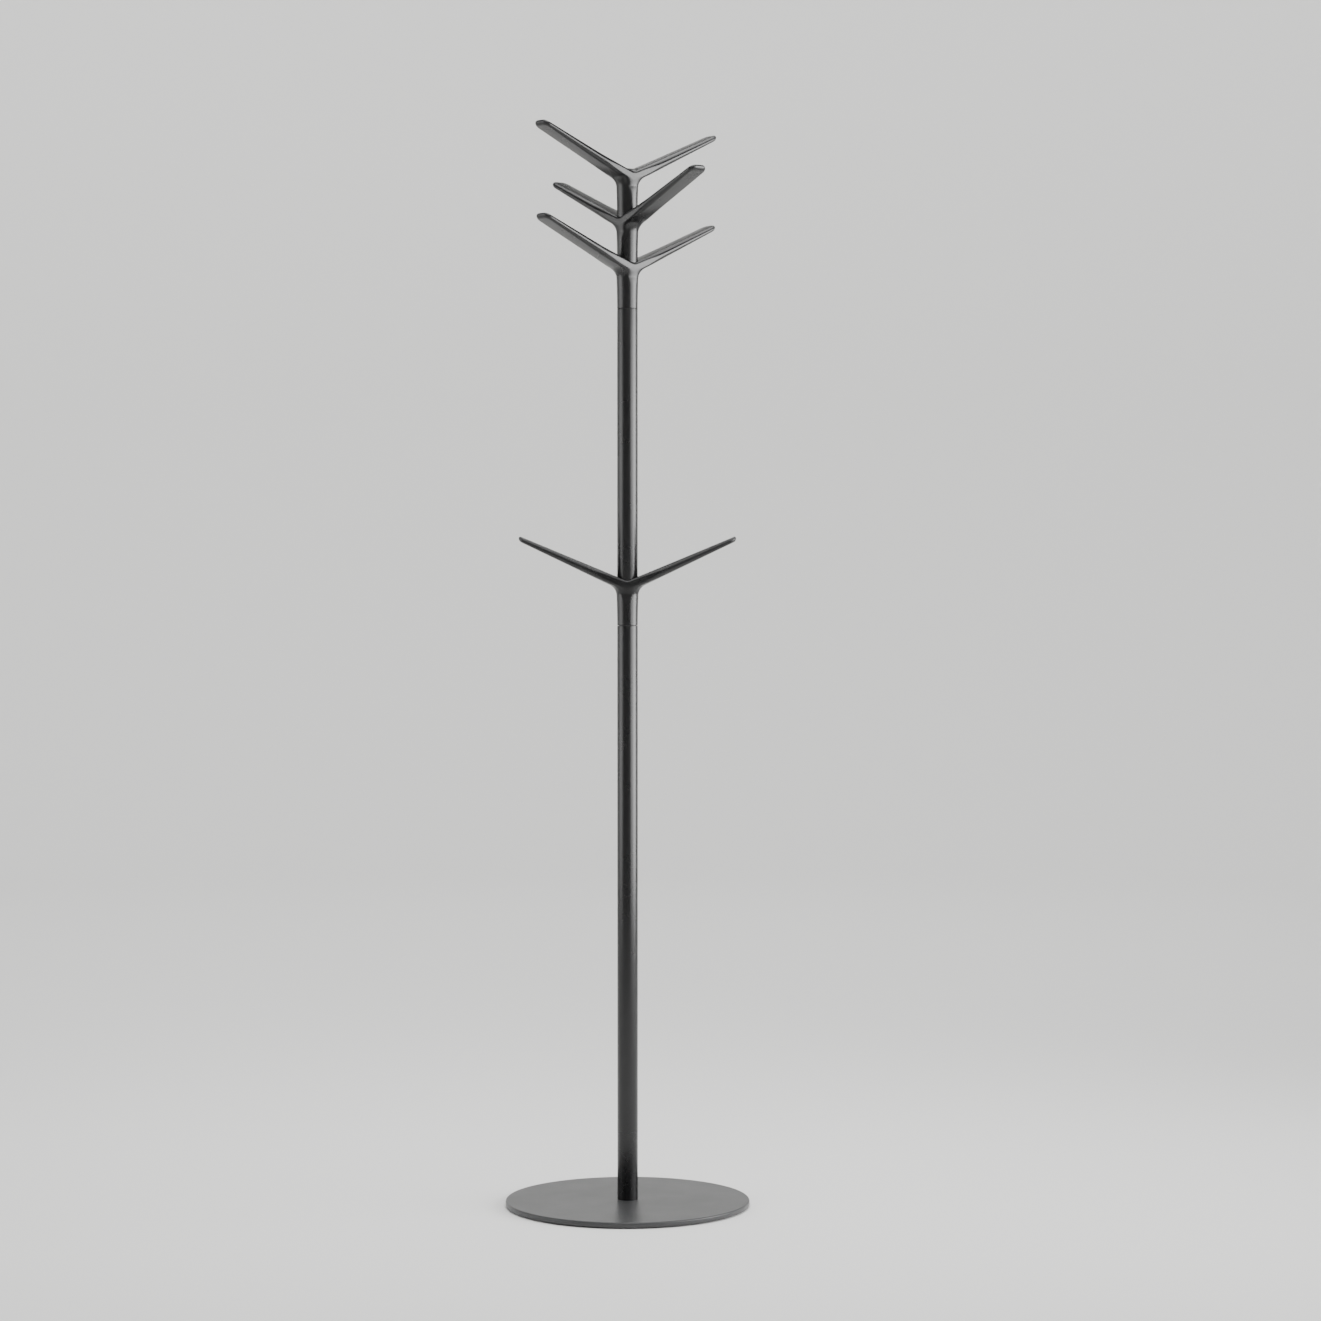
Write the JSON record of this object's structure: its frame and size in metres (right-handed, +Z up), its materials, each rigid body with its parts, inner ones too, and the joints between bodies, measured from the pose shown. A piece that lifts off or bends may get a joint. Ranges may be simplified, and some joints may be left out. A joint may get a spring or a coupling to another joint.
{
  "type": "coat rack",
  "caption": "Slim standing coat rack: a round flat base, a straight post and double-armed hooks that turn about the post.",
  "frame": {"origin": "on the floor under the middle of the round base", "axes": "+Z up along the post, +X along the arms of the middle hook"},
  "size_m": [0.3799, 0.38, 1.6715],
  "materials": {
    "plate_coat": "satin anthracite powder coat with a fine texture on steel",
    "post_coat": "satin black powder coat on steel tube",
    "hook_coat": "cast aluminium under a satin black coat",
    "cap_plastic": "moulded black plastic",
    "pad_rubber": "soft black floor pad",
    "bearing_nylon": "black bearing nylon",
    "ring_nylon": "black nylon with a moulded texture",
    "mast_steel": "drawn steel tube, oiled",
    "turned_steel": "turned steel",
    "zinc_steel": "zinc-plated steel"
  },
  "bodies": {
    "stand": {"base_plate": "plate_coat", "floor_pads": "pad_rubber", "base_screw": "zinc_steel", "base_dowels": "zinc_steel", "foot_plug": "turned_steel", "mast": "mast_steel", "lower_post": "post_coat", "upper_post": "post_coat", "lower_post_ring": "ring_nylon", "upper_post_foot_ring": "ring_nylon", "upper_post_head_ring": "ring_nylon", "thrust_washer_under_mid": "bearing_nylon", "thrust_washer_over_mid": "bearing_nylon", "thrust_washer_under_third": "bearing_nylon", "thrust_washer_under_second": "bearing_nylon", "thrust_washer_under_top": "bearing_nylon", "thrust_washer_over_top": "bearing_nylon", "mast_stud": "turned_steel", "pressure_washer": "zinc_steel", "spring_washer": "zinc_steel", "lock_nut": "zinc_steel"},
    "mid_hook": {"hook_hub_mid": "hook_coat", "lower_bush_mid": "bearing_nylon", "upper_bush_mid": "bearing_nylon"},
    "third_hook": {"hook_hub_third": "hook_coat", "lower_bush_third": "bearing_nylon", "upper_bush_third": "bearing_nylon"},
    "second_hook": {"hook_hub_second": "hook_coat", "lower_bush_second": "bearing_nylon", "upper_bush_second": "bearing_nylon"},
    "top_hook": {"hook_hub_top": "hook_coat", "lower_bush_top": "bearing_nylon", "upper_bush_top": "bearing_nylon", "top_cap": "cap_plastic"}
  },
  "joints": [
    {"name": "mid_hook_turn", "type": "hinge", "parent": "stand", "child": "mid_hook", "pos_m": [0, 0, 0.9381], "axis": [0, 0, 1], "continuous": true},
    {"name": "third_hook_turn", "type": "hinge", "parent": "stand", "child": "third_hook", "pos_m": [0, 0, 1.4276], "axis": [0, 0, 1], "continuous": true},
    {"name": "second_hook_turn", "type": "hinge", "parent": "stand", "child": "second_hook", "pos_m": [0, 0, 1.4978], "axis": [0, 0, 1], "continuous": true},
    {"name": "top_hook_turn", "type": "hinge", "parent": "stand", "child": "top_hook", "pos_m": [0, 0, 1.568], "axis": [0, 0, 1], "continuous": true}
  ]
}
